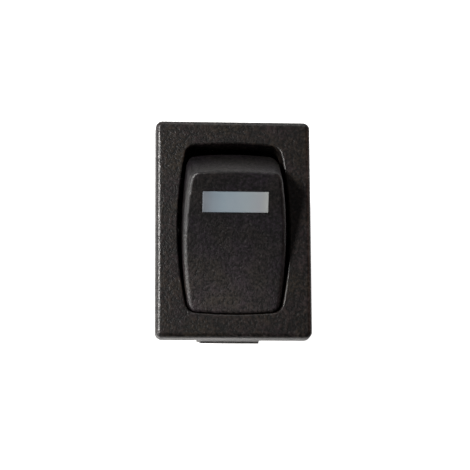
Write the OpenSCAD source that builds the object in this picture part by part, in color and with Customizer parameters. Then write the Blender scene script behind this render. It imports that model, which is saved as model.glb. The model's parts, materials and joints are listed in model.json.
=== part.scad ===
// Lighted snap-in rocker switch for a rectangular panel cut-out.
// X runs across the bezel, Y along it, Z out of the panel.
// The origin is the middle of the bezel's seat, the plane that lies on the panel.
// The switch is drawn in its rest position, with the -Y end of the rocker pressed in.

/* [Bezel] */
// Width of the bezel, across the rocker
bezel_w = 15.0; // [12.5:0.1:20]
// Length of the bezel, along the rocker
bezel_l = 21.2; // [18:0.1:28]
// Thickness of the bezel in front of the panel
bezel_t = 2.0; // [1.6:0.1:2.6]
// Corner radius of the bezel outline
bezel_corner = 0.65; // [0.4:0.05:1.2]
// Rounding of the bezel's front edge
bezel_edge = 0.5; // [0.1:0.05:0.6]
// Overhang of the bezel beyond the body, long sides
flange_side = 1.1; // [0.8:0.1:1.6]
// Overhang of the bezel beyond the body, short ends
flange_end = 1.1; // [1.0:0.1:1.8]

/* [Body] */
// Depth of the body behind the panel face
body_depth = 13.0; // [12.4:0.2:17]
// Thickness of the body's long walls
side_wall = 1.0; // [0.7:0.05:1.2]
// Thickness of the body's end walls
end_wall = 1.15; // [1.0:0.05:1.5]
// Thickness of the end walls where they are recessed behind the tongues
end_skin = 0.5; // [0.4:0.05:0.6]
// Thickness of the body's floor
floor_t = 1.6; // [1.2:0.1:2.0]
// Size of the chamfer on the body's upright corners
body_chamfer = 0.5; // [0.2:0.1:0.8]
// Depth at which the body's ends start to lean in
lean_depth = 6.5; // [6:0.1:8]
// How far the body's ends lean in at the foot
lean_in = 0.6; // [0.4:0.05:0.7]

/* [Opening] */
// How much the opening narrows towards its ends, as a share of its width
opening_taper = 0.165; // [0:0.005:0.2]
// How much the opening's ends bow outwards, as a share of its length
opening_bow = 0.03; // [0:0.01:0.05]
// Corner radius of the opening
opening_corner = 0.8; // [0.4:0.1:1.2]
// Rounding around the opening's front rim
opening_edge = 0.2; // [0.05:0.05:0.4]

/* [Snap tongues] */
// Width of each snap tongue
tongue_w = 5.7; // [4.5:0.1:6.5]
// How far the crest of a tongue stands out from the body
tongue_reach = 0.8; // [0.5:0.05:1.0]
// Depth of the crest below the bezel
tongue_crest = 4.1; // [3.5:0.1:5]
// Width of the slot on each side of a tongue
tongue_slot = 0.55; // [0.4:0.05:0.8]

/* [Rocker] */
// Swing of the rocker to each side of its middle position, degrees
rocker_angle = 16.4; // [12:0.1:17]
// Depth of the pivot below the front of the bezel
pivot_drop = 4.05; // [3.7:0.05:4.4]
// Height of the face's end edges above the pivot
face_rise = 6.2; // [5.6:0.05:6.6]
// How much the face is dished between its ends
face_dish = 0.55; // [0.2:0.05:0.8]
// Gap between the rocker and the opening, long sides
side_gap = 0.46; // [0.4:0.01:0.7]
// Gap between the rocker's sweep and the opening, short ends
end_gap = 0.1; // [0.1:0.01:0.3]
// How much the rocker narrows towards its ends, as a share of its width
rocker_taper = 0.12; // [0:0.01:0.14]
// How much the rocker's ends bow outwards, as a share of its length
rocker_bow = 0.03; // [0:0.01:0.05]
// Corner radius of the rocker outline
rocker_corner = 0.8; // [0.6:0.05:1.2]
// Rounding between the face and the side walls
rocker_edge = 0.5; // [0.2:0.05:0.6]
// Rounding between the face and the end walls
rocker_end_edge = 0.22; // [0.1:0.02:0.5]
// Thickness of the rocker's side walls
rocker_side_wall = 0.85; // [0.6:0.05:1.0]
// Thickness of the rocker's end walls
rocker_end_wall = 0.9; // [0.7:0.05:1.1]
// Depth of the rocker's skirt below the pivot
skirt_drop = 0.5; // [0.2:0.1:0.8]
// Diameter of the pivot bosses
pivot_d = 2.0; // [1.6:0.1:2.4]
// Radial clearance of the pivot bosses in the body
pivot_clear = 0.05; // [0.02:0.01:0.1]
// Diameter of the ears that carry the bosses
ear_d = 3.6; // [3:0.1:4]

/* [Lens] */
// Width of the lens bar in the face
lens_w = 6.3; // [5:0.05:7]
// Height of the lens bar in the face
lens_h = 2.0; // [1.4:0.05:2.4]
// Distance of the lens from the middle of the rocker
lens_y = 3.82; // [3.4:0.02:4.2]
// Clearance around the lens in its window
lens_clear = 0.03; // [0.01:0.01:0.05]

/* [Plunger and spring] */
// Diameter of the plunger, and of its round nose
plunger_d = 2.0; // [1.6:0.1:2.2]
// Radial clearance of the plunger in its tube
plunger_clear = 0.05; // [0.03:0.01:0.1]
// Wall of the tube that guides the plunger
tube_wall = 0.5; // [0.4:0.05:0.6]
// How far the plunger can be pushed in
plunger_travel = 0.8; // [0.5:0.1:1]
// Wire diameter of the plunger spring
spring_wire = 0.25; // [0.2:0.01:0.3]
// Clearance between the plunger spring and its tube
spring_clear = 0.145; // [0.1:0.005:0.2]
// Turns of the plunger spring
spring_turns = 8; // [5:1:10]

/* [Contact arm] */
// Swing of the arm to each side of level, degrees
arm_angle = 8; // [5:0.5:9]
// Thickness of the arm
arm_t = 0.4; // [0.3:0.05:0.5]
// Width of the arm where it hooks round its cradle
arm_w = 4.5; // [4:0.1:5]
// Width of the arm at its contact pads
arm_pad_w = 2.6; // [2:0.1:3]
// Radius of the saddle that the plunger rides in
saddle_r = 4.5; // [4:0.1:8]
// Height of the arm's pivot edge above the floor
cradle_h = 2.8; // [2.4:0.1:3.4]
// Diameter of the silver contacts
contact_d = 1.9; // [1.5:0.1:2.2]
// Height of the head of each silver contact
contact_head = 0.5; // [0.3:0.05:0.6]

/* [Terminals] */
// Width of the blade terminals
tab_w = 4.8; // [2.8:0.1:4.8]
// Thickness of the blade terminals
tab_t = 0.8; // [0.5:0.1:0.8]
// Length of the blades below the body
tab_len = 8.0; // [6:0.2:10]
// Diameter of the hole in each blade
tab_hole = 1.5; // [1.2:0.1:1.7]
// Distance of the hole from the blade's tip
tab_hole_up = 3.2; // [2.6:0.1:4]
// Spacing of the blades along the body
tab_pitch = 6.5; // [6:0.1:7]

/* [Lamp] */
// Diameter of the lamp
lamp_d = 2.9; // [1.8:0.1:3.0]
// Height of the lamp
lamp_h = 3.6; // [2.5:0.1:3.6]
// Distance of the lamp from the middle of the body
lamp_y = 4.7; // [4.6:0.05:5]
// Thickness of the lamp holder
holder_t = 1.0; // [0.8:0.1:1.2]
// Diameter of the lamp's leads
lead_d = 0.45; // [0.3:0.05:0.5]
// Diameter of the resistor
resistor_d = 1.7; // [1.5:0.1:1.8]
// Length of the resistor
resistor_l = 3.4; // [3:0.1:3.6]

/* [Hidden] */
$fn = 48;
e = 0.01;

// Heights
front_z = bezel_t;
pivot_z = bezel_t - pivot_drop;
floor_z = -body_depth + floor_t;
arm_z = floor_z + cradle_h;
ledge_z = pivot_z - 3.85;
holder_top = ledge_z + holder_t;

// Outlines, as half sizes
body_hx = bezel_w / 2 - flange_side;
body_hy = bezel_l / 2 - flange_end;
open_hx = body_hx - side_wall;
open_hy = body_hy - end_wall;
inner_hx = open_hx;
inner_hy = open_hy;

// Rocker in its own frame, level, with the pivot at the origin
face_hx = open_hx - side_gap;
face_hy = (open_hy - end_gap - face_rise * sin(rocker_angle)) / cos(rocker_angle);
end_draft = rocker_angle - 0.9;
side_draft = 1.0;
skirt_hy = face_hy + tan(end_draft) * 4.3;
skirt_top = face_rise - 4.3;
ceiling_z = face_rise - face_dish - 1.05;
tube_d = plunger_d + 2 * plunger_clear + 2 * tube_wall;
spring_d = plunger_d + 2 * plunger_clear - 2 * spring_clear - spring_wire;
boss_x = body_hx - 0.15;
foot_chamfer = 0.6;
plate_edge = min(bezel_edge, bezel_corner - 0.05);

// Plunger: its nose just clears the arm as it crosses the middle
nose_gap = 0.03;
nose_r = plunger_d / 2;
nose_low = pivot_z - (arm_z + arm_t + nose_gap);
tube_low = nose_low - 2.8;
plunger_top = tube_low - 2.6;

// Contact arm, in its own frame, level, with its pivot edge at the origin
saddle_y = 1.5;
saddle_b = saddle_r + arm_t;
wing_slope = asin(saddle_y / saddle_b);
wing_y = 3.3;
contact_y = tab_pitch - 1.6;
arm_end = contact_y + 1.0;
waist_x = 1.62;
cradle_gap = 0.1;

// Blade terminals
shoulder_w = tab_w + 0.5;
shelf_t = tab_t;
ear_out = 4.0;
lead_x = 3.35;
lead_z = floor_z + 1.35;

// A rectangle with round corners whose sides bow by kx and whose ends bow by ky
function outline(hx, hy, r, kx, ky, m = 16, p = 8, c = 8) =
    let (
        ix = hx - r,
        iy = hy - r,
        pts = concat(
            [for (i = [0:m - 1]) [hx, -iy + 2 * iy * i / m]],
            [for (i = [0:c - 1]) [ix + r * cos(90 * i / c), iy + r * sin(90 * i / c)]],
            [for (i = [0:p - 1]) [ix - 2 * ix * i / p, hy]],
            [for (i = [0:c - 1]) [-ix - r * sin(90 * i / c), iy + r * cos(90 * i / c)]],
            [for (i = [0:m - 1]) [-hx, iy - 2 * iy * i / m]],
            [for (i = [0:c - 1]) [-ix - r * cos(90 * i / c), -iy - r * sin(90 * i / c)]],
            [for (i = [0:p - 1]) [-ix + 2 * ix * i / p, -hy]],
            [for (i = [0:c - 1]) [ix + r * sin(90 * i / c), -iy - r * cos(90 * i / c)]]
        )
    )
    [for (q = pts) [q[0] * (1 - kx * pow(q[1] / hy, 2)), q[1] * (1 - ky * pow(q[0] / hx, 2))]];

// The same outline as a ring in space
function ring(pts, z) = [for (q = pts) [q[0], q[1], z]];

// Height of the dished face above the pivot at distance y from the middle
function face_z(y) = face_rise - face_dish * (1 - pow(y / face_hy, 2));

// Skin over a stack of rings with equal counts, closed by a flat face at each end
module loft(rings) {
    n = len(rings[0]);
    m = len(rings);
    pts = [for (r = rings) for (q = r) q];
    walls = [
        for (j = [0:m - 2]) for (i = [0:n - 1]) for (t = [0, 1])
            t == 0
                ? [j * n + i, (j + 1) * n + i, j * n + (i + 1) % n]
                : [j * n + (i + 1) % n, (j + 1) * n + i, (j + 1) * n + (i + 1) % n]
    ];
    bottom = [[for (i = [0:n - 1]) i]];
    top = [[for (i = [0:n - 1]) m * n - 1 - i]];
    polyhedron(pts, concat(bottom, walls, top), convexity = 6);
}

// Skin over a stack of rings made by outline(), closed on top by strips that run
// straight across from each point to its mirror image
module strip_loft(rings, m = 16, p = 8, c = 8) {
    n = len(rings[0]);
    k = len(rings);
    base = (k - 1) * n;
    pts = [for (r = rings) for (q = r) q];
    walls = [
        for (j = [0:k - 2]) for (i = [0:n - 1]) for (t = [0, 1])
            t == 0
                ? [j * n + i, (j + 1) * n + i, j * n + (i + 1) % n]
                : [j * n + (i + 1) % n, (j + 1) * n + i, (j + 1) * n + (i + 1) % n]
    ];
    bottom = [[for (i = [0:n - 1]) i]];
    first = m + c + p / 2;
    pair = 2 * m + 2 * c + p;
    strips = [
        for (t = [0:n / 2 - 1])
            let (
                r0 = (first - t + n) % n,
                r1 = (first - t - 1 + n) % n,
                l0 = (pair - r0 + n) % n,
                l1 = (pair - r1 + n) % n
            )
            r0 == l0 ? [base + r0, base + r1, base + l1]
            : r1 == l1 ? [base + r0, base + r1, base + l0]
            : [base + r0, base + r1, base + l1, base + l0]
    ];
    polyhedron(pts, concat(bottom, walls, strips), convexity = 6);
}

function unit(v) = v / norm(v);

// Direction of a path at point i
function heading(p, i) =
    unit(
        (i == 0 ? [0, 0, 0] : unit(p[i] - p[i - 1]))
        + (i == len(p) - 1 ? [0, 0, 0] : unit(p[i + 1] - p[i]))
    );

// A direction square to the path at each point, carried along without twist
function sides(p, i = 0, last = [0.31, 0.17, 0.93], done = []) =
    i == len(p)
        ? done
        : let (t = heading(p, i), s = unit(last - (last * t) * t)) sides(p, i + 1, s, concat(done, [s]));

// Round wire of diameter d swept along a path
module wire(p, d, n = 8) {
    s = sides(p);
    rings = [
        for (i = [0:len(p) - 1])
            let (t = heading(p, i), u = s[i], v = cross(t, u))
            [for (k = [0:n - 1]) p[i] + d / 2 * (cos(-360 * k / n) * u + sin(-360 * k / n) * v)]
    ];
    loft(rings);
}

// A path with each inner corner turned on a radius r
function rounded(p, r) =
    concat(
        [p[0]],
        [
            for (i = [1:len(p) - 2])
                let (a = unit(p[i - 1] - p[i]), b = unit(p[i + 1] - p[i]))
                for (k = [0:4])
                    let (w = k / 4, q = p[i] + r * ((1 - w) * (1 - w) * a + w * w * b)) q
        ],
        [p[len(p) - 1]]
    );

// Plate with round corners and a rounded front edge, its back on z = 0
module soft_plate(w, l, t, r, edge) {
    side_x = concat(
        [[-w / 2, 0], [w / 2, 0]],
        [for (a = [0:15:90]) [w / 2 - edge + edge * cos(a), t - edge + edge * sin(a)]],
        [for (a = [90:15:180]) [-w / 2 + edge + edge * cos(a), t - edge + edge * sin(a)]]
    );
    side_y = concat(
        [[-l / 2, 0], [l / 2, 0]],
        [for (a = [0:15:90]) [l / 2 - edge + edge * cos(a), t - edge + edge * sin(a)]],
        [for (a = [90:15:180]) [-l / 2 + edge + edge * cos(a), t - edge + edge * sin(a)]]
    );
    corner = concat(
        [[0, 0], [r, 0]],
        [for (a = [0:15:90]) [r - edge + edge * cos(a), t - edge + edge * sin(a)]],
        [[0, t]]
    );
    rotate([90, 0, 0]) linear_extrude(l - 2 * r, center = true) polygon(side_x);
    rotate([90, 0, 90]) linear_extrude(w - 2 * r, center = true) polygon(side_y);
    for (x = [-1, 1]) for (y = [-1, 1])
        translate([x * (w / 2 - r), y * (l / 2 - r), 0]) rotate_extrude() polygon(corner);
}

// Box between two opposite corners
module block(a, b) {
    translate(a) cube(b - a);
}

// Puts its children in the rocker, which is tipped about its pivot
module in_rocker() {
    translate([0, 0, pivot_z]) rotate([rocker_angle, 0, 0]) children();
}

// Puts its children on the contact arm, which is tipped the other way
module in_arm() {
    translate([0, 0, arm_z]) rotate([-arm_angle, 0, 0]) children();
}

// Stepped snap tongue at the +Y end, rooted low in the end wall
module tongue() {
    y0 = body_hy;
    root_z = floor_z + 0.6;
    root_y = y0 - 0.2;
    crest_z = -tongue_crest;
    r = tongue_reach;
    profile = [
        [y0 - end_wall + end_skin - 0.2, root_z - 1],
        [y0 - lean_in, root_z - 1],
        [root_y, root_z - 0.5],
        [root_y, root_z],
        [y0 + r, crest_z - 0.4],
        [y0 + r, crest_z - 0.05],
        [y0 + r - 0.03, crest_z],
        [y0 + r - 0.1, crest_z + 0.05],
        [y0 + r - 0.12, crest_z + 1.15],
        [y0 + r * 0.5, crest_z + 1.35],
        [y0 + r * 0.48, crest_z + 2.2],
        [y0 + r * 0.2, crest_z + 2.4],
        [y0 + r * 0.15, crest_z + 3.0],
        [y0 - 0.05, -0.9],
        [y0 - 0.07, -0.5],
        [y0 - 0.45, -0.5],
        [y0 - 0.45, crest_z + 2.3],
        [y0 + r - 0.7, crest_z + 0.1],
        [y0 + r - 0.65, crest_z - 0.5],
        [root_y - 0.45, root_z]
    ];
    rotate([90, 0, 90]) linear_extrude(tongue_w, center = true) polygon(profile);
}

// Bracket in a corner of the body that stops the rocker's skirt
module skirt_stop() {
    stop_z = pivot_z - (skirt_hy * sin(rocker_angle) + skirt_drop * cos(rocker_angle)) - 0.06;
    y1 = inner_hy + e;
    y0 = inner_hy - 1.25;
    profile = [[y1, stop_z], [y0, stop_z], [y0, stop_z - 0.5], [y1, stop_z - 1.75]];
    x0 = tongue_w / 2 + tongue_slot + 0.1;
    for (s = [-1, 1])
        translate([s * (x0 + inner_hx + e) / 2, 0, 0])
            rotate([90, 0, 90]) linear_extrude(inner_hx + e - x0, center = true) polygon(profile);
}

// Bezel and body in one moulding
module housing() {
    slot_x = tongue_w / 2 + tongue_slot;
    color("#2b2a29")
    difference() {
        union() {
            difference() {
                union() {
                    soft_plate(bezel_w, bezel_l, bezel_t, bezel_corner, plate_edge);
                    // Body, with chamfered corners and a chamfered foot
                    intersection() {
                        translate([0, 0, -body_depth]) linear_extrude(body_depth + 0.5)
                            polygon(chamfered(body_hx, body_hy, body_chamfer));
                        rotate([90, 0, 90]) linear_extrude(2 * body_hx + 1, center = true)
                            polygon(foot_profile(body_hy, lean_in));
                        rotate([90, 0, 0]) linear_extrude(2 * body_hy + 1, center = true)
                            polygon(foot_profile(body_hx, lean_in / 3));
                    }
                    // Ribs that centre the body in the panel
                    for (x = [-1, 1]) for (y = [-1, 1])
                        translate([x * body_hx, y * (body_hy - 2.4), -2])
                            cube([0.2, 0.6, 4], center = true);
                }
                // Hollow of the body
                block([-inner_hx, -inner_hy, floor_z], [inner_hx, inner_hy, -0.6]);
                // Opening for the rocker
                translate([0, 0, -1]) linear_extrude(bezel_t + 2)
                    polygon(outline(open_hx, open_hy, opening_corner, opening_taper, opening_bow));
                opening_rim();
                // Recesses that the snap tongues spring into
                for (s = [0, 180]) rotate(s)
                    block([-slot_x, inner_hy + end_skin, floor_z + 0.6], [slot_x, body_hy + 1, 0]);
            }
            for (s = [0, 180]) rotate(s) {
                tongue();
                skirt_stop();
            }
            // Ledges that carry the lamp holder
            for (s = [-1, 1])
                translate([s * inner_hx, lamp_y, 0]) rotate([90, 0, 0])
                    linear_extrude(3.2, center = true)
                        polygon([[s * 0.2, ledge_z], [-s * 0.75, ledge_z], [-s * 0.75, ledge_z - 0.3], [s * 0.2, ledge_z - 1.3]]);
            // Post that stops the free end of the contact arm
            block([-1.1, -arm_end + 0.35, floor_z - 0.3], [1.1, -arm_end + 1.45, stop_post_z()]);
        }
        // Holes for the pivot bosses
        translate([0, 0, pivot_z]) rotate([0, 90, 0])
            cylinder(d = pivot_d + 2 * pivot_clear, h = 2 * body_hx + 1, center = true);
        // Slots for the blades
        for (y = [-1, 0, 1])
            translate([0, y * tab_pitch, -body_depth + floor_t / 2])
                cube([tab_w + 0.06, tab_t + 0.06, floor_t + 1], center = true);
    }
}

// Rectangle with cut corners
function chamfered(hx, hy, c) = [
    [hx, -hy + c], [hx, hy - c], [hx - c, hy], [-hx + c, hy],
    [-hx, hy - c], [-hx, -hy + c], [-hx + c, -hy], [hx - c, -hy]
];

// Side view of the body, leaning in by the given amount to a chamfered foot
function foot_profile(h, lean) = [
    [-h, 1], [-h, -lean_depth], [-h + lean, -body_depth + foot_chamfer], [-h + lean + foot_chamfer, -body_depth],
    [h - lean - foot_chamfer, -body_depth], [h - lean, -body_depth + foot_chamfer], [h, -lean_depth], [h, 1]
];

// Rounding round the front of the opening
module opening_rim() {
    r = opening_edge;
    loft([
        for (q = [[-0.04, -r - 0.06], [r * 0.08, -r * 0.6], [r * 0.3, -r * 0.29], [r * 0.6, -r * 0.08], [r + 0.06, 0.03]])
            ring(
                outline(open_hx + q[0], open_hy + q[0], opening_corner + max(0, q[0]), opening_taper, opening_bow),
                front_z + q[1]
            )
    ]);
}

// Ring round the rocker: a share of the way from its walls, at u = 0, over the rounding
// to its face, at u = 90. Each side of the ring turns on its own radius.
function rocker_ring(u) =
    let (
        rs = rocker_edge,
        re = rocker_end_edge,
        hx = face_hx + tan(side_draft) * rs * (1 - sin(u)) - rs * (1 - cos(u)),
        hy = face_hy + tan(end_draft) * re * (1 - sin(u)) - re * (1 - cos(u)),
        pts = outline(hx, hy, max(0.25, rocker_corner - rs * (1 - cos(u)) * 0.6), rocker_taper, rocker_bow)
    )
    [
        for (q = pts)
            let (
                w = min(1, max(0, (abs(q[1]) - hy + rocker_corner) / rocker_corner)),
                drop = (rs + (re - rs) * w) * (1 - sin(u))
            )
            [q[0], q[1], face_z(q[1] * face_hy / (hy + re * (1 - cos(u)))) - drop]
    ];

// Outer form of the rocker
module rocker_skin() {
    fall = face_rise - skirt_top;
    base = outline(face_hx + tan(side_draft) * fall, face_hy + tan(end_draft) * fall, rocker_corner, rocker_taper, rocker_bow);
    rounding = [for (u = [0:22.5:90]) rocker_ring(u)];
    strip_loft(concat([ring(base, -skirt_drop), ring(base, skirt_top)], rounding));
}

// Hollow under the rocker
module rocker_hollow() {
    w = rocker_side_wall;
    v = rocker_end_wall;
    low = outline(face_hx - w, skirt_hy - v, 0.6, rocker_taper, rocker_bow, 8, 4, 3);
    high = outline(face_hx - w, skirt_hy - v - tan(end_draft) * (ceiling_z - skirt_top), 0.6, rocker_taper, rocker_bow, 8, 4, 3);
    loft([ring(low, -skirt_drop - 1), ring(low, skirt_top), ring(high, ceiling_z)]);
}

// Rocker moulding with its bosses, plunger tube and ribs
module rocker() {
    color("#201f1f")
    in_rocker()
    difference() {
        union() {
            difference() {
                union() {
                    rocker_skin();
                    for (s = [-1, 1])
                        translate([s * (face_hx + tan(side_draft) * face_rise - rocker_side_wall / 2), 0, 0])
                            rotate([0, 90, 0]) cylinder(d = ear_d, h = rocker_side_wall, center = true);
                }
                difference() {
                    rocker_hollow();
                    // Ribs under the face
                    for (s = [-1, 1])
                        translate([s * 3, 0, ceiling_z - 1.2]) cube([4.4, 0.7, 2.6], center = true);
                    translate([0, -face_hy / 2 - 0.4, ceiling_z - 0.6]) cube([0.7, face_hy, 1.4], center = true);
                }
            }
            for (s = [-1, 1])
                translate([s * (boss_x + face_hx - 0.3) / 2, 0, 0])
                    rotate([0, 90, 0]) cylinder(d = pivot_d, h = boss_x - face_hx + 0.3, center = true);
            translate([0, 0, -tube_low]) cylinder(d = tube_d, h = tube_low + ceiling_z + 0.2);
        }
        // Bore for the plunger and its spring
        translate([0, 0, -tube_low - 1])
            cylinder(d = plunger_d + 2 * plunger_clear, h = tube_low + 1 + ceiling_z - 0.4);
        // Window for the lens
        translate([0, lens_y, ceiling_z])
            cube([lens_w + 2 * lens_clear, lens_h + 2 * lens_clear, 6], center = true);
    }
}

// Lens bar, its flange under the face and the light pipe below it
module lens() {
    y0 = lens_y - lens_h / 2;
    y1 = lens_y + lens_h / 2;
    top = [for (i = [0:8]) let (y = y1 + (y0 - y1) * i / 8) [y, face_z(y)]];
    color("#8f9aa3")
    in_rocker() {
        rotate([90, 0, 90]) linear_extrude(lens_w, center = true)
            polygon(concat([[y0, ceiling_z - 0.3], [y1, ceiling_z - 0.3]], top));
        block([-lens_w / 2 - 0.5, y0 - 0.45, ceiling_z - 0.7], [lens_w / 2 + 0.5, y1 + 0.45, ceiling_z]);
        block([-2.2, lens_y - 0.6, ceiling_z - 1.4], [2.2, lens_y + 0.6, ceiling_z - 0.5]);
    }
}

// Plunger with a round nose and a spigot for its spring
module plunger() {
    color("#d8d4c6")
    in_rocker() {
        translate([0, 0, -nose_low + nose_r]) sphere(r = nose_r);
        translate([0, 0, -nose_low + nose_r]) cylinder(r = nose_r, h = nose_low - nose_r - plunger_top);
        translate([0, 0, -plunger_top - e]) cylinder(d = spring_d - spring_wire - 0.2, h = 0.9);
    }
}

// Coil spring above the plunger, with closed ends
module plunger_spring() {
    z0 = -plunger_top + spring_wire / 2 + 0.01;
    z1 = ceiling_z - 0.4 - spring_wire / 2 - 0.01;
    steps = 13;
    total = spring_turns * steps;
    closed = spring_wire * 1.1;
    open_rise = (z1 - z0 - 2 * closed) / (spring_turns - 2);
    path = [
        for (i = [0:total])
            let (
                t = i / steps,
                z = t < 1 ? closed * t
                    : t > spring_turns - 1 ? z1 - z0 - closed * (spring_turns - t)
                    : closed + open_rise * (t - 1)
            )
            [spring_d / 2 * cos(360 * t), spring_d / 2 * sin(360 * t), z0 + z]
    ];
    color("#9a9a98") in_rocker() wire(path, spring_wire, 6);
}

// Underside of the level contact arm at distance y from its pivot
function arm_under(y) =
    let (a = abs(y))
    a <= saddle_y ? saddle_b - sqrt(saddle_b * saddle_b - a * a)
    : a <= wing_y ? arm_under(saddle_y) + (a - saddle_y) * tan(wing_slope)
    : arm_under(wing_y) + (a - wing_y) * tan(arm_angle);

function arm_over(y) =
    let (a = abs(y), s = a <= saddle_y ? asin(a / saddle_b) : a <= wing_y ? wing_slope : arm_angle)
    arm_under(y) + arm_t / cos(s);

// See-saw contact arm with a rivet hole
module contact_arm() {
    stations = concat(
        [-arm_end, -wing_y],
        [for (i = [-5:5]) saddle_y * i / 5],
        [wing_y, arm_end]
    );
    profile = concat(
        [for (y = stations) [y, arm_under(y)]],
        [for (i = [len(stations) - 1:-1:0]) [stations[i], arm_over(stations[i])]]
    );
    half = [
        [waist_x, 0], [waist_x, tab_t / 2 + 0.16], [arm_w / 2, tab_t / 2 + 0.16], [arm_w / 2, 1.6],
        [arm_pad_w / 2, wing_y - 0.4], [arm_pad_w / 2, arm_end - 0.5], [arm_pad_w / 2 - 0.5, arm_end]
    ];
    n = len(half) - 1;
    plan = concat(
        half,
        [for (i = [n:-1:0]) [-half[i][0], half[i][1]]],
        [for (i = [1:n]) [-half[i][0], -half[i][1]]],
        [for (i = [n:-1:1]) [half[i][0], -half[i][1]]]
    );
    color("#b58d4a")
    in_arm()
    difference() {
        intersection() {
            rotate([90, 0, 90]) linear_extrude(arm_w + 1, center = true) polygon(profile);
            translate([0, 0, -1]) linear_extrude(5) polygon(plan);
        }
        translate([0, contact_y, arm_under(contact_y)]) rotate([arm_angle, 0, 0])
            cylinder(d = 1.02, h = 3, center = true);
    }
}

// Silver contact riveted to the arm
module arm_contact() {
    color("#c9cbcc")
    in_arm() translate([0, contact_y, arm_under(contact_y)]) rotate([arm_angle, 0, 0]) {
        translate([0, 0, -contact_head]) cylinder(d = contact_d, h = contact_head);
        translate([0, 0, -0.1]) cylinder(d = 1.0, h = arm_t + 0.25);
    }
}

// Place of the closed contact, and the height where its head ends
function closed_y() = contact_y * cos(arm_angle) + arm_under(contact_y) * sin(arm_angle);
function closed_z() = arm_z - contact_y * sin(arm_angle) + arm_under(contact_y) * cos(arm_angle) - contact_head;
function shelf_z() = closed_z() - 0.02 - contact_head;
function stop_post_z() = closed_z() + contact_head - 0.03;

// Silver contact riveted to the load terminal
module load_contact() {
    color("#c9cbcc")
    translate([0, closed_y(), shelf_z()]) {
        cylinder(d = contact_d, h = contact_head);
        translate([0, 0, -shelf_t - 0.15]) cylinder(d = 1.2, h = shelf_t + 0.25);
    }
}

// Blade of a terminal, up to the given height, at y = 0
module blade(top) {
    low = -body_depth - tab_len;
    face = [
        [-tab_w / 2 + 0.9, low], [tab_w / 2 - 0.9, low], [tab_w / 2, low + 1.1], [tab_w / 2, top],
        [-tab_w / 2, top], [-tab_w / 2, low + 1.1]
    ];
    edge = [
        [-tab_t / 2 + 0.22, low], [tab_t / 2 - 0.22, low], [tab_t / 2, low + 0.7], [tab_t / 2, top + 1],
        [-tab_t / 2, top + 1], [-tab_t / 2, low + 0.7]
    ];
    difference() {
        intersection() {
            rotate([90, 0, 0]) linear_extrude(tab_t + 1, center = true) polygon(face);
            rotate([90, 0, 90]) linear_extrude(tab_w + 1, center = true) polygon(edge);
        }
        translate([0, 0, low + tab_hole_up]) rotate([90, 0, 0])
            cylinder(d = tab_hole, h = tab_t + 1, center = true);
    }
    // Shoulders that seat on the floor
    block([-shoulder_w / 2, -tab_t / 2, floor_z], [shoulder_w / 2, tab_t / 2, floor_z + 0.5]);
}

// Middle blade, whose top is the cradle and knife edge of the contact arm
module supply_terminal() {
    ridge = [
        [-tab_t / 2, arm_z - 0.7], [tab_t / 2, arm_z - 0.7], [tab_t / 2, arm_z - 0.42],
        [0.07, arm_z - 0.02], [-0.07, arm_z - 0.02], [-tab_t / 2, arm_z - 0.42]
    ];
    inner = waist_x + cradle_gap;
    color("#c2a25c") {
        blade(arm_z - 0.5);
        rotate([90, 0, 90]) linear_extrude(2 * inner + 0.1, center = true) polygon(ridge);
        for (s = [-1, 1])
            translate([s * (inner + tab_w / 2) / 2, 0, arm_z + 0.2])
                cube([tab_w / 2 - inner, tab_t, 1.6], center = true);
    }
}

// Load blade, bent over into a shelf that carries the fixed contact
module load_terminal() {
    y1 = tab_pitch + tab_t / 2;
    y0 = closed_y() - contact_d / 2 - 0.15;
    z1 = shelf_z();
    r = 0.8;
    shelf = concat(
        [[y1 - tab_t, floor_z + 0.3], [y1, floor_z + 0.3]],
        [for (a = [0:15:90]) [y1 - r + r * cos(a), z1 - r + r * sin(a)]],
        [[y0, z1], [y0, z1 - shelf_t], [y1 - tab_t, z1 - shelf_t]]
    );
    color("#c2a25c")
    difference() {
        union() {
            translate([0, tab_pitch, 0]) blade(floor_z + 0.4);
            rotate([90, 0, 90]) linear_extrude(3.4, center = true) polygon(shelf);
            block([-ear_out, tab_pitch - tab_t / 2, floor_z + 0.2], [0, tab_pitch + tab_t / 2, lead_z - lead_d / 2]);
        }
        translate([0, closed_y(), z1 - 2]) cylinder(d = 1.22, h = 4);
    }
}

// Earth blade, with an ear for the resistor's lead
module earth_terminal() {
    color("#c2a25c") {
        translate([0, -tab_pitch, 0]) blade(floor_z + 0.4);
        block([-1.2, -tab_pitch - tab_t / 2, floor_z + 0.2], [ear_out, -tab_pitch + tab_t / 2, lead_z - lead_d / 2]);
    }
}

// Bridge that carries the lamp over the contact arm
module lamp_holder() {
    y0 = lamp_y - 1.85;
    y1 = lamp_y + 1.75;
    px = inner_hx - 0.06;
    rim = lamp_d / 2 + 0.12;
    color("#e4e2da")
    difference() {
        block([-px, y0, ledge_z], [px, y1, holder_top]);
        // Seat of the lamp
        translate([0, lamp_y, holder_top - 0.3]) cylinder(r = rim, h = 2);
        // Grooves and notches for the leads
        for (s = [-1, 1]) {
            block(
                [min(s * 1.0, s * (lead_x + 0.3)), lamp_y - 0.3, holder_top - 0.8],
                [max(s * 1.0, s * (lead_x + 0.3)), lamp_y + 0.3, holder_top + 1]
            );
            translate([s * lead_x, lamp_y, ledge_z - 1]) cylinder(d = lead_d + 0.15, h = 3);
        }
        // Relief for the plunger
        translate([0, y0 - 2.4, ledge_z - 1]) cylinder(r = 2.6, h = 3);
    }
}

// Lamp with a domed top and a wider foot
module lamp() {
    r = lamp_d / 2;
    z0 = holder_top - 0.3;
    color("#dfe6ea") {
        translate([0, lamp_y, z0]) cylinder(r = r + 0.1, h = 0.8);
        translate([0, lamp_y, z0]) cylinder(r = r, h = lamp_h - r);
        translate([0, lamp_y, z0 + lamp_h - r]) sphere(r = r);
    }
}

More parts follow.
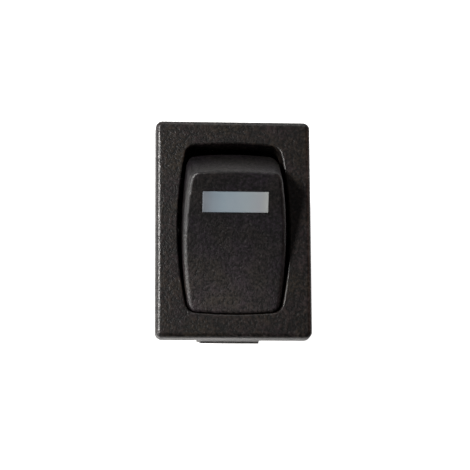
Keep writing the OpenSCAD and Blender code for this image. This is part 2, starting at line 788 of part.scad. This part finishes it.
// Route of a lamp lead on side s, from under the lamp down to the level of the terminals
function lead_start(s) = [
    [s * 1.27, lamp_y, holder_top - 0.3],
    [s * 1.27, lamp_y, holder_top - 0.56],
    [s * lead_x, lamp_y, holder_top - 0.56]
];

// Lead from the lamp to the load terminal
module anode_lead() {
    path = rounded(
        concat(lead_start(-1), [[-lead_x, lamp_y, lead_z], [-lead_x, tab_pitch + tab_t / 2 + 0.1, lead_z]]),
        0.25
    );
    color("#b9bab8") wire(path, lead_d);
}

// Lead from the lamp to the resistor
module cathode_lead() {
    path = rounded(
        concat(lead_start(1), [[lead_x, lamp_y, lead_z], [lead_x, splice_y() + 0.02, lead_z]]),
        0.25
    );
    color("#b9bab8") wire(path, lead_d);
}

function splice_y() = resistor_l / 2 + 0.9;

// Sleeve that joins the cathode lead to the resistor's lead
module lead_splice() {
    color("#8e9090")
    difference() {
        translate([lead_x, splice_y() + 0.45, lead_z]) rotate([90, 0, 0]) cylinder(d = lead_d + 0.4, h = 0.9);
        translate([lead_x, splice_y() + 1, lead_z]) rotate([90, 0, 0]) cylinder(d = lead_d + 0.02, h = 2);
    }
}

// Resistor with bulged end caps
module resistor() {
    r = resistor_d / 2;
    profile = [
        [0.25, -resistor_l / 2], [r - 0.3, -resistor_l / 2], [r, -resistor_l / 2 + 0.25],
        [r, -resistor_l / 2 + 0.8], [r - 0.15, -resistor_l / 2 + 1.0], [r - 0.15, resistor_l / 2 - 1.0],
        [r, resistor_l / 2 - 0.8], [r, resistor_l / 2 - 0.25], [r - 0.3, resistor_l / 2], [0.25, resistor_l / 2]
    ];
    color("#c9b58c")
    translate([lead_x, 0, lead_z]) rotate([90, 0, 0]) rotate_extrude() polygon(profile);
}

// Lead through the resistor, from the splice to the earth terminal
module resistor_lead() {
    color("#b9bab8")
    translate([lead_x, splice_y(), lead_z]) rotate([90, 0, 0])
        cylinder(d = lead_d, h = splice_y() + tab_pitch + tab_t / 2 + 0.1);
}

// Drop of solder that holds a lead on a terminal's ear
module solder(x, y) {
    top = lead_z - lead_d / 2;
    color("#a9abac")
    difference() {
        translate([x, y, top]) sphere(r = 0.62);
        block([x - 2, y - 2, top - 2], [x + 2, y + 2, top]);
        translate([x, y + 2, lead_z]) rotate([90, 0, 0]) cylinder(d = lead_d + 0.02, h = 4);
    }
}

module load_solder() {
    solder(-lead_x, tab_pitch);
}

module earth_solder() {
    solder(lead_x, -tab_pitch);
}

housing();
rocker();
lens();
plunger();
plunger_spring();
contact_arm();
arm_contact();
load_contact();
supply_terminal();
load_terminal();
earth_terminal();
lamp_holder();
lamp();
anode_lead();
cathode_lead();
lead_splice();
resistor();
resistor_lead();
load_solder();
earth_solder();
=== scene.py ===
import json
import math

import bmesh
import bpy
from mathutils import Matrix, Vector


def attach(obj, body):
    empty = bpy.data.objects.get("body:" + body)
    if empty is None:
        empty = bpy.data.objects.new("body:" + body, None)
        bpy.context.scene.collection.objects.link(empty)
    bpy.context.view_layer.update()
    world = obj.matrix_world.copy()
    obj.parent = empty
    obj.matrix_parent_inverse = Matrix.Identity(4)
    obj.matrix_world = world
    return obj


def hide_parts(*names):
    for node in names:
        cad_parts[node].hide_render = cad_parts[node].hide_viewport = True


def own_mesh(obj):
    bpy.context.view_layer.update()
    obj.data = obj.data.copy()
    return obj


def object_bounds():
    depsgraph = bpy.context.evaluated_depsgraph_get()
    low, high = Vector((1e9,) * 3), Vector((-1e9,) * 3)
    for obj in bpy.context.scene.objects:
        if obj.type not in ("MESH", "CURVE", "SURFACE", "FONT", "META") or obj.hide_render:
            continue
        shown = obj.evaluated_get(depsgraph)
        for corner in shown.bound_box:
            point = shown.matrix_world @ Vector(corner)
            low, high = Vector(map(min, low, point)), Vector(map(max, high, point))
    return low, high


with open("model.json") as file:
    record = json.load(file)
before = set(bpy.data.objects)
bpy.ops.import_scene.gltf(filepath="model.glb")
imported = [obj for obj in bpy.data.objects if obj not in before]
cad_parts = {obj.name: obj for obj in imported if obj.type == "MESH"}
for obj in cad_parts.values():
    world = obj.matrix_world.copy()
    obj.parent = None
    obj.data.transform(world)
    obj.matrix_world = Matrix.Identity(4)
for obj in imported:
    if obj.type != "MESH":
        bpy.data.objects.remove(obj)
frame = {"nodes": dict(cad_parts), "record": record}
cad_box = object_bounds()
MM = 0.001
scene = bpy.context.scene


# ---------------------------------------------------------------- camera

SENSOR_MM = 36
CLIP_NEAR, CLIP_FAR = 0.01, 10


def make_camera(yaw_deg, pitch_deg, roll, distance, focal_mm, shift):
    """A camera that looks at the origin from above the panel; roll is in radians."""
    yaw, pitch = math.radians(yaw_deg), math.radians(pitch_deg)
    back = Vector((
        -math.sin(yaw) * math.cos(pitch),
        -math.sin(pitch),
        math.cos(yaw) * math.cos(pitch),
    ))
    right = Vector((0, 1, 0)).cross(back).normalized()
    up = back.cross(right)
    c, s = math.cos(roll), math.sin(roll)
    right, up = right * c + up * s, up * c - right * s
    data = bpy.data.cameras.new("camera")
    data.sensor_width = SENSOR_MM
    data.lens = focal_mm
    data.shift_x, data.shift_y = shift
    data.clip_start, data.clip_end = CLIP_NEAR, CLIP_FAR
    camera = bpy.data.objects.new("camera", data)
    camera.matrix_world = Matrix((
        (right.x, up.x, back.x, back.x * distance),
        (right.y, up.y, back.y, back.y * distance),
        (right.z, up.z, back.z, back.z * distance),
        (0, 0, 0, 1),
    ))
    scene.collection.objects.link(camera)
    scene.camera = camera


make_camera(
    yaw_deg=4.3965,
    pitch_deg=10.8505,
    roll=-0.0052,
    distance=183.53 * MM,
    focal_mm=144.706,
    shift=(0.00614, -0.00601),
)


# ---------------------------------------------------------------- node helpers

class Tree:
    """A material's node tree, with short calls to add and link nodes."""

    def __init__(self, name):
        self.material = bpy.data.materials.new(name)
        self.material.use_nodes = True
        self.nodes = self.material.node_tree.nodes
        self.links = self.material.node_tree.links
        self.shader = self.nodes["Principled BSDF"]
        self.coords = self.nodes.new("ShaderNodeTexCoord").outputs["Object"]

    def node(self, kind, inputs=None, **settings):
        n = self.nodes.new(kind)
        for k, v in settings.items():
            setattr(n, k, v)
        for k, v in (inputs or {}).items():
            self.put(n.inputs[k], v)
        return n

    def put(self, socket, value):
        if isinstance(value, bpy.types.NodeSocket):
            self.links.new(value, socket)
        else:
            socket.default_value = value

    def set(self, **values):
        """Values or links for the shader's inputs, with _ for each space in a name."""
        for k, v in values.items():
            self.put(self.shader.inputs[k.replace("_", " ")], v)

    def place(self, axis):
        """One coordinate, X, Y or Z, of the node's own space."""
        return self.node("ShaderNodeSeparateXYZ", {"Vector": self.coords}).outputs[axis]

    def noise(self, size_mm, detail=2.0, rough=0.5, stretch=None, seed=0.0):
        """Noise with features of about size_mm; seed moves it to another place."""
        where = self.coords
        if stretch or seed:
            where = self.node("ShaderNodeMapping", {
                "Vector": where,
                "Scale": stretch or (1, 1, 1),
                "Location": (seed, seed * 0.7, seed * 0.3),
            }).outputs[0]
        return self.node("ShaderNodeTexNoise", {
            "Vector": where,
            "Scale": 1 / (size_mm * MM),
            "Detail": detail,
            "Roughness": rough,
        }).outputs["Fac"]

    def ramp(self, fac, stops, interpolation="LINEAR"):
        n = self.node("ShaderNodeValToRGB", {"Fac": fac})
        n.color_ramp.interpolation = interpolation
        e = n.color_ramp.elements
        while len(e) < len(stops):
            e.new(0.5)
        for el, (at, colour) in zip(e, stops):
            el.position = at
            el.color = (*colour, 1)
        return n.outputs["Color"]

    def span(self, value, lo, hi, to_lo, to_hi):
        """value's range lo..hi laid over to_lo..to_hi, and held at its ends."""
        return self.node("ShaderNodeMapRange", {
            "Value": value,
            "From Min": lo,
            "From Max": hi,
            "To Min": to_lo,
            "To Max": to_hi,
        }).outputs["Result"]

    def mix(self, fac, a, b, kind="MIX"):
        n = self.node("ShaderNodeMix", data_type="RGBA", blend_type=kind)
        self.put(n.inputs["Factor"], fac)
        for socket, v in ((n.inputs[6], a), (n.inputs[7], b)):
            self.put(socket, v if isinstance(v, bpy.types.NodeSocket) else (*v, 1))
        return n.outputs[2]

    def math(self, op, a, b):
        n = self.node("ShaderNodeMath", operation=op)
        self.put(n.inputs[0], a)
        self.put(n.inputs[1], b)
        return n.outputs[0]

    def blend(self, a, share_a, b, share_b):
        return self.math("ADD", self.math("MULTIPLY", a, share_a), self.math("MULTIPLY", b, share_b))

    def bump(self, height, depth_mm, strength=1.0):
        return self.node("ShaderNodeBump", {
            "Height": height,
            "Distance": depth_mm * MM,
            "Strength": strength,
        }).outputs["Normal"]


# ---------------------------------------------------------------- materials

# Moulded grain: two sizes of pit make the relief, and a slow cloud shifts its tone.
FINE_GRAIN = 0.45                  # share of the coarse grain's size
COARSE_SHARE, FINE_SHARE = 0.68, 0.32
CLOUD_MM = 1.6
GRAIN_SHARE, CLOUD_SHARE = 0.85, 0.15
DARK_FROM, LIGHT_TO = 0.44, 0.64   # tones between which the colour goes from dark to light
ROUGH_SWING = 0.07

# A slow drift of tint, from slightly purple to slightly yellow.
DRIFT_MM = 2.6
TINTS = (0.95, 0.86, 1.02), (1.02, 1.0, 0.86)

# Pale specks, a little smaller than the grain.
FLECK_GRAIN = 0.8                  # share of the coarse grain's size
FLECK_SHARE = 0.2
FLECK_COLOUR = (0.12, 0.115, 0.11)

# Painted sheen on the rocker: a paler colour on the half away from the lens, less towards +X, standing
# in for light that falls on the pressed half and on the side towards the key.
PAINTED_SHEEN_X_MM = 4.8, 1.2               # least, full
PAINTED_SHEEN_LEAST = 0.15
PAINTED_SHEEN_Y_MM = -0.8, -7.0             # none, full


def grained_plastic(name, dark, light, grain_mm, depth_mm, rough, shine, painted_sheen=None):
    """Black moulded plastic with a spark-eroded grain: pits, pale flecks and a slightly cloudy tone."""
    t = Tree(name)
    coarse = t.noise(grain_mm, rough=0.6)
    fine = t.noise(grain_mm * FINE_GRAIN, seed=0.17)
    cloud = t.noise(CLOUD_MM, detail=3, rough=0.55)
    grain = t.blend(coarse, COARSE_SHARE, fine, FINE_SHARE)
    tone = t.blend(grain, GRAIN_SHARE, cloud, CLOUD_SHARE)
    colour = t.mix(t.span(tone, DARK_FROM, LIGHT_TO, 0, 1), dark, light)
    # Optional painted sheen: a paler colour laid over the half away from the lens and towards -X, where
    # light falls.
    if painted_sheen is not None:
        least_x, full_x = (x * MM for x in PAINTED_SHEEN_X_MM)
        none_y, full_y = (y * MM for y in PAINTED_SHEEN_Y_MM)
        middle = t.span(t.place("X"), least_x, full_x, PAINTED_SHEEN_LEAST, 1)
        low_half = t.span(t.place("Y"), none_y, full_y, 0, 1)
        sheen_share = t.math("MULTIPLY", low_half, t.span(tone, 0.4, 0.65, 0, 1))
        colour = t.mix(t.math("MULTIPLY", sheen_share, middle), colour, painted_sheen)
    drift = t.span(t.noise(DRIFT_MM, seed=0.47), 0.38, 0.62, 0, 1)
    colour = t.mix(1.0, colour, t.mix(drift, *TINTS), "MULTIPLY")
    flecks = t.noise(grain_mm * FLECK_GRAIN, detail=1, seed=0.31)
    flecks = t.span(flecks, 0.62, 0.76, 0, 1)
    colour = t.mix(t.math("MULTIPLY", flecks, FLECK_SHARE), colour, FLECK_COLOUR)
    t.set(
        Base_Color=colour,
        Roughness=t.span(tone, 0.36, 0.64, rough + ROUGH_SWING, rough - ROUGH_SWING),
        Normal=t.bump(grain, depth_mm),
        Specular_IOR_Level=shine,
    )
    return t.material


# The lens's colour across its length, from its darker end at -X to the end at +X: painted shade towards
# -X and a painted highlight at the +X end.
LENS_HALF_MM = 3.15
LENS_PAINTED_SHADING = (
    (0.03, (0.168, 0.188, 0.214)),
    (0.17, (0.21, 0.256, 0.297)),
    (0.31, (0.24, 0.300, 0.345)),
    (0.5, (0.262, 0.317, 0.36)),
    (0.68, (0.288, 0.337, 0.367)),
    (0.87, (0.305, 0.325, 0.349)),
    # The last stops paint a highlight along the lens's +X end.
    (0.93, (0.325, 0.343, 0.352)),
    (0.98, (0.37, 0.385, 0.38)),
)
LENS_CLOUD_COLOUR = (0.35, 0.385, 0.41)
LENS_CLOUD_SHARE = 0.14


def lens_plastic():
    """Milky blue grey polycarbonate, with painted shade towards -X and a painted highlight at the +X
    end.
    """
    t = Tree("lens_plastic")
    across = t.span(t.place("X"), -LENS_HALF_MM * MM, LENS_HALF_MM * MM, 0, 1)
    cloud = t.span(t.noise(1.4), 0.35, 0.65, 0, LENS_CLOUD_SHARE)
    t.set(
        Base_Color=t.mix(cloud, t.ramp(across, LENS_PAINTED_SHADING), LENS_CLOUD_COLOUR),
        Roughness=t.span(t.noise(0.5), 0.3, 0.7, 0.2, 0.27),
        Subsurface_Weight=0.12,
        Subsurface_Radius=(0.6, 0.7, 0.8),
        Subsurface_Scale=0.5 * MM,
        Normal=t.bump(t.noise(0.9), depth_mm=0.004, strength=0.6),
    )
    return t.material


NYLON_DARKER = 0.88


def nylon(name, base):
    """Natural nylon, a little cloudy and a little translucent."""
    t = Tree(name)
    cloud = t.noise(1.1, detail=3, rough=0.55)
    darker = tuple(c * NYLON_DARKER for c in base)
    t.set(
        Base_Color=t.mix(t.span(cloud, 0.35, 0.65, 0, 1), darker, base),
        Roughness=t.span(cloud, 0.3, 0.7, 0.4, 0.52),
        Subsurface_Weight=0.15,
        Subsurface_Radius=(0.9, 0.8, 0.6),
        Subsurface_Scale=0.4 * MM,
        Normal=t.bump(t.noise(0.16), depth_mm=0.006, strength=0.7),
    )
    return t.material


STREAK_MM = 0.09                   # across the streaks
STREAK_SQUEEZE = 0.06              # scale of the noise along the streaks
STREAK_SHARE = 0.5
METAL_DARKER = 0.82
TARNISH_MM = 1.9
TARNISH_SHARE = 0.25
BRASS_TARNISH = (0.5, 0.4, 0.26)


def metal(name, base, rough, streak_axis, tarnish=BRASS_TARNISH):
    """Rolled or drawn metal: fine streaks along one axis and a light, uneven tarnish."""
    t = Tree(name)
    stretch = [1.0, 1.0, 1.0]
    stretch["XYZ".index(streak_axis)] = STREAK_SQUEEZE
    lines = t.noise(STREAK_MM, detail=3, rough=0.6, stretch=tuple(stretch), seed=0.13)
    cloud = t.noise(TARNISH_MM, detail=3, rough=0.6)
    darker = tuple(c * METAL_DARKER for c in base)
    colour = t.mix(t.span(lines, 0.3, 0.7, 0, STREAK_SHARE), base, darker)
    streaky = t.span(lines, 0.3, 0.7, rough - 0.06, rough + 0.08)
    t.set(
        Base_Color=t.mix(t.span(cloud, 0.5, 0.72, 0, TARNISH_SHARE), colour, tarnish),
        Metallic=1.0,
        Roughness=t.math("ADD", streaky, t.span(cloud, 0.5, 0.75, 0, 0.1)),
        Normal=t.bump(lines, depth_mm=0.004, strength=0.5),
    )
    return t.material


def lamp_epoxy():
    """Clear cast epoxy."""
    t = Tree("lamp_epoxy")
    cloud = t.noise(1.2)
    t.set(
        Base_Color=t.mix(t.span(cloud, 0.3, 0.7, 0, 1), (0.80, 0.86, 0.88), (0.9, 0.93, 0.94)),
        Roughness=t.span(cloud, 0.3, 0.7, 0.06, 0.12),
        Transmission_Weight=0.75,
        IOR=1.5,
    )
    return t.material


RESISTOR_HALF_MM = 1.7
LACQUER = (0.62, 0.5, 0.32)
RESISTOR_BANDS = (                 # where each colour starts, along the body
    (0, LACQUER),
    (0.17, (0.03, 0.025, 0.02)),
    (0.27, LACQUER),
    (0.36, (0.5, 0.02, 0.02)),
    (0.44, LACQUER),
    (0.54, (0.35, 0.12, 0.03)),
    (0.62, LACQUER),
    (0.8, (0.6, 0.42, 0.1)),
    (0.88, LACQUER),
)


def resistor_body():
    """Lacquered tan body with plain colour bands."""
    t = Tree("resistor_body")
    along = t.span(t.place("Y"), -RESISTOR_HALF_MM * MM, RESISTOR_HALF_MM * MM, 0, 1)
    bands = t.ramp(along, RESISTOR_BANDS, "CONSTANT")
    cloud = t.noise(0.7)
    t.set(
        Base_Color=t.mix(t.span(cloud, 0.4, 0.7, 0, 0.25), bands, (0.4, 0.32, 0.2)),
        Roughness=t.span(cloud, 0.3, 0.7, 0.25, 0.4),
        Normal=t.bump(cloud, depth_mm=0.01, strength=0.5),
    )
    return t.material


MATERIALS = {
    "housing_plastic": grained_plastic(
        "housing_plastic",
        dark=(0.0003, 0.0002, 0.0001),
        light=(0.035, 0.0282, 0.0252),
        grain_mm=0.3,
        depth_mm=0.066,
        rough=0.345,
        shine=0.6,
    ),
    "rocker_plastic": grained_plastic(
        "rocker_plastic",
        dark=(0.0003, 0.0002, 0.0003),
        light=(0.0245, 0.0212, 0.0236),
        grain_mm=0.28,
        depth_mm=0.074,
        rough=0.39,
        shine=0.58,
        # painted sheen colour: light painted onto the pressed half of the rocker
        painted_sheen=(0.047, 0.0395, 0.038),
    ),
    "lens_plastic": lens_plastic(),
    "nylon": nylon("nylon", (0.78, 0.75, 0.67)),
    "holder_plastic": nylon("holder_plastic", (0.8, 0.78, 0.73)),
    "spring_steel": metal("spring_steel", (0.55, 0.55, 0.54), 0.3, "Z", (0.35, 0.32, 0.28)),
    "plated_brass": metal("plated_brass", (0.72, 0.55, 0.28), 0.28, "Y"),
    "silver": metal("silver", (0.82, 0.81, 0.79), 0.25, "X", (0.45, 0.42, 0.38)),
    "terminal_metal": metal("terminal_metal", (0.75, 0.6, 0.33), 0.3, "Z"),
    "lamp_epoxy": lamp_epoxy(),
    "tinned_wire": metal("tinned_wire", (0.68, 0.68, 0.67), 0.32, "Z", (0.42, 0.41, 0.4)),
    "resistor_body": resistor_body(),
    "solder": metal("solder", (0.62, 0.63, 0.64), 0.26, "X", (0.4, 0.4, 0.4)),
}


# ---------------------------------------------------------------- pieces

NODE_SMOOTH_DEG = 32               # CAD nodes shown as they are
EDGE_DEG = 38                      # copies: edges sharper than this are softened
WELD_MM = 0.0005
FLAT_DEG = 0.6                     # faces that meet flatter than this become one
SPRING_SMOOTH_DEG = 40

# Copies with softened edges: node, its body, the width of the soft edge in millimetres.
SOFTENED = (
    ("housing", "base", 0.05),
    ("rocker", "rocker", 0.05),
    ("lens", "rocker", 0.05),
    ("supply_terminal", "base", 0.08),
    ("load_terminal", "base", 0.08),
    ("earth_terminal", "base", 0.08),
    ("contact_arm", "contact_arm", 0.04),
    ("lamp_holder", "base", 0.06),
    ("arm_contact", "contact_arm", 0.08),
    ("load_contact", "base", 0.08),
)
EDGE_DEG_OF = {"contact_arm": 30}  # its bends are shallower


def dress(obj, slot):
    obj.data.materials.clear()
    obj.data.materials.append(MATERIALS[slot])


def smooth(obj, angle_deg):
    obj.data.polygons.foreach_set("use_smooth", [True] * len(obj.data.polygons))
    obj.data.set_sharp_from_angle(angle=math.radians(angle_deg))


def stand_in(node, suffix, mesh, body, angle_deg):
    """Shows mesh in place of a CAD node, with that node's material, in the body it moves with."""
    slot = slots[node]
    piece = bpy.data.objects.new(node + suffix, mesh)
    scene.collection.objects.link(piece)
    dress(piece, slot)
    smooth(piece, angle_deg)
    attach(piece, body)
    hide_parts(node)
    return piece


def finer(node, body, width_mm):
    """A welded copy of a CAD node with its sharp edges softened, standing for that node."""
    angle_deg = EDGE_DEG_OF.get(node, EDGE_DEG)
    bm = bmesh.new()
    bm.from_mesh(frame["nodes"][node].data)
    bmesh.ops.remove_doubles(bm, verts=bm.verts, dist=WELD_MM * MM)
    bmesh.ops.dissolve_limit(bm, angle_limit=math.radians(FLAT_DEG), verts=bm.verts, edges=bm.edges)
    mesh = bpy.data.meshes.new(node + "_fine")
    bm.to_mesh(mesh)
    bm.free()
    piece = stand_in(node, "_fine", mesh, body, angle_deg)
    bevel = piece.modifiers.new("soft_edges", "BEVEL")
    bevel.width = width_mm * MM
    bevel.segments = 2
    bevel.limit_method = "ANGLE"
    bevel.angle_limit = math.radians(angle_deg)
    bevel.harden_normals = True
    bevel.use_clamp_overlap = True
    weighted = piece.modifiers.new("even_faces", "WEIGHTED_NORMAL")
    weighted.keep_sharp = True


def sprung(node, body):
    """A copy of the plunger's coil spring with its own mesh, standing for that node in the body it
    moves with.
    """
    mesh = frame["nodes"][node].data.copy()
    piece = stand_in(node, "_coil", mesh, body, SPRING_SMOOTH_DEG)
    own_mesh(piece)


slots = {s["node"]: s["material_slot"] for s in frame["record"]["subparts"]}
for name, obj in frame["nodes"].items():
    dress(obj, slots[name])
    smooth(obj, NODE_SMOOTH_DEG)
for row in SOFTENED:
    finer(*row)
sprung("plunger_spring", "rocker")


# ---------------------------------------------------------------- floor and light

FLOOR_HALF = 3.0
CAMERA_GLOW, MIRRORED_GLOW = 0.9, 0.2
WORLD_LEVEL = 0.03

# Area lights aimed at the origin: name, direction, distance, width, power in watts, colour.
LIGHTS = (
    ("key", (-0.8, 0.25, 1.0), 0.16, 0.03, 0.262, (1.0, 0.98, 0.96)),
    ("side", (-0.95, -0.38, 0.4), 0.3, 0.12, 0.42, (1.0, 0.99, 0.98)),
    ("low_side", (-0.95, 0.1, 0.2), 0.3, 0.12, 0.04, (1.0, 1.0, 1.0)),
    ("right", (0.85, 0.2, 0.5), 0.3, 0.12, 0.036, (1.0, 0.58, 0.44)),
    ("back", (0.12, 0.85, 0.5), 0.3, 0.15, 0.125, (1.0, 0.99, 0.98)),
)


def make_floor():
    """White paper under the part, which glows for the camera so that it looks near white."""
    bottom = cad_box[0].z
    mesh = bpy.data.meshes.new("floor")
    bm = bmesh.new()
    bmesh.ops.create_grid(bm, x_segments=8, y_segments=8, size=FLOOR_HALF)
    bm.to_mesh(mesh)
    bm.free()
    floor = bpy.data.objects.new("floor", mesh)
    floor.location = (0, 0, bottom)
    scene.collection.objects.link(floor)
    t = Tree("floor")
    paper = t.span(t.noise(6, detail=3), 0.3, 0.7, 0, 1)
    path = t.node("ShaderNodeLightPath").outputs
    mirrored = t.math("MAXIMUM", path["Is Glossy Ray"], path["Is Transmission Ray"])
    seen = t.math("MULTIPLY", path["Is Camera Ray"], CAMERA_GLOW)
    t.set(
        Base_Color=t.mix(paper, (0.86, 0.86, 0.86), (0.9, 0.9, 0.9)),
        Roughness=0.9,
        Specular_IOR_Level=0.1,
        Emission_Color=(1, 1, 1, 1),
        Emission_Strength=t.math("MAXIMUM", seen, t.math("MULTIPLY", mirrored, MIRRORED_GLOW)),
    )
    floor.data.materials.append(t.material)


def make_world(level):
    """Plain white: level as light, and full white where the camera sees it."""
    world = bpy.data.worlds.new("world")
    world.use_nodes = True
    scene.world = world
    nodes, links = world.node_tree.nodes, world.node_tree.links
    background = nodes["Background"]
    background.inputs["Color"].default_value = (1, 1, 1, 1)
    path = nodes.new("ShaderNodeLightPath")
    strength = nodes.new("ShaderNodeMapRange")
    links.new(path.outputs["Is Camera Ray"], strength.inputs["Value"])
    strength.inputs["To Min"].default_value = level
    strength.inputs["To Max"].default_value = 1.0
    links.new(strength.outputs["Result"], background.inputs["Strength"])


def area_light(name, direction, distance, width, power, colour):
    data = bpy.data.lights.new(name, "AREA")
    data.shape = "SQUARE"
    data.size = width
    data.energy = power
    data.color = colour
    light = bpy.data.objects.new(name, data)
    d = Vector(direction).normalized()
    light.location = d * distance
    light.rotation_mode = "QUATERNION"
    light.rotation_quaternion = d.to_track_quat("Z", "Y")
    scene.collection.objects.link(light)


make_floor()
make_world(WORLD_LEVEL)
for row in LIGHTS:
    area_light(*row)

scene.view_settings.view_transform = "Standard"
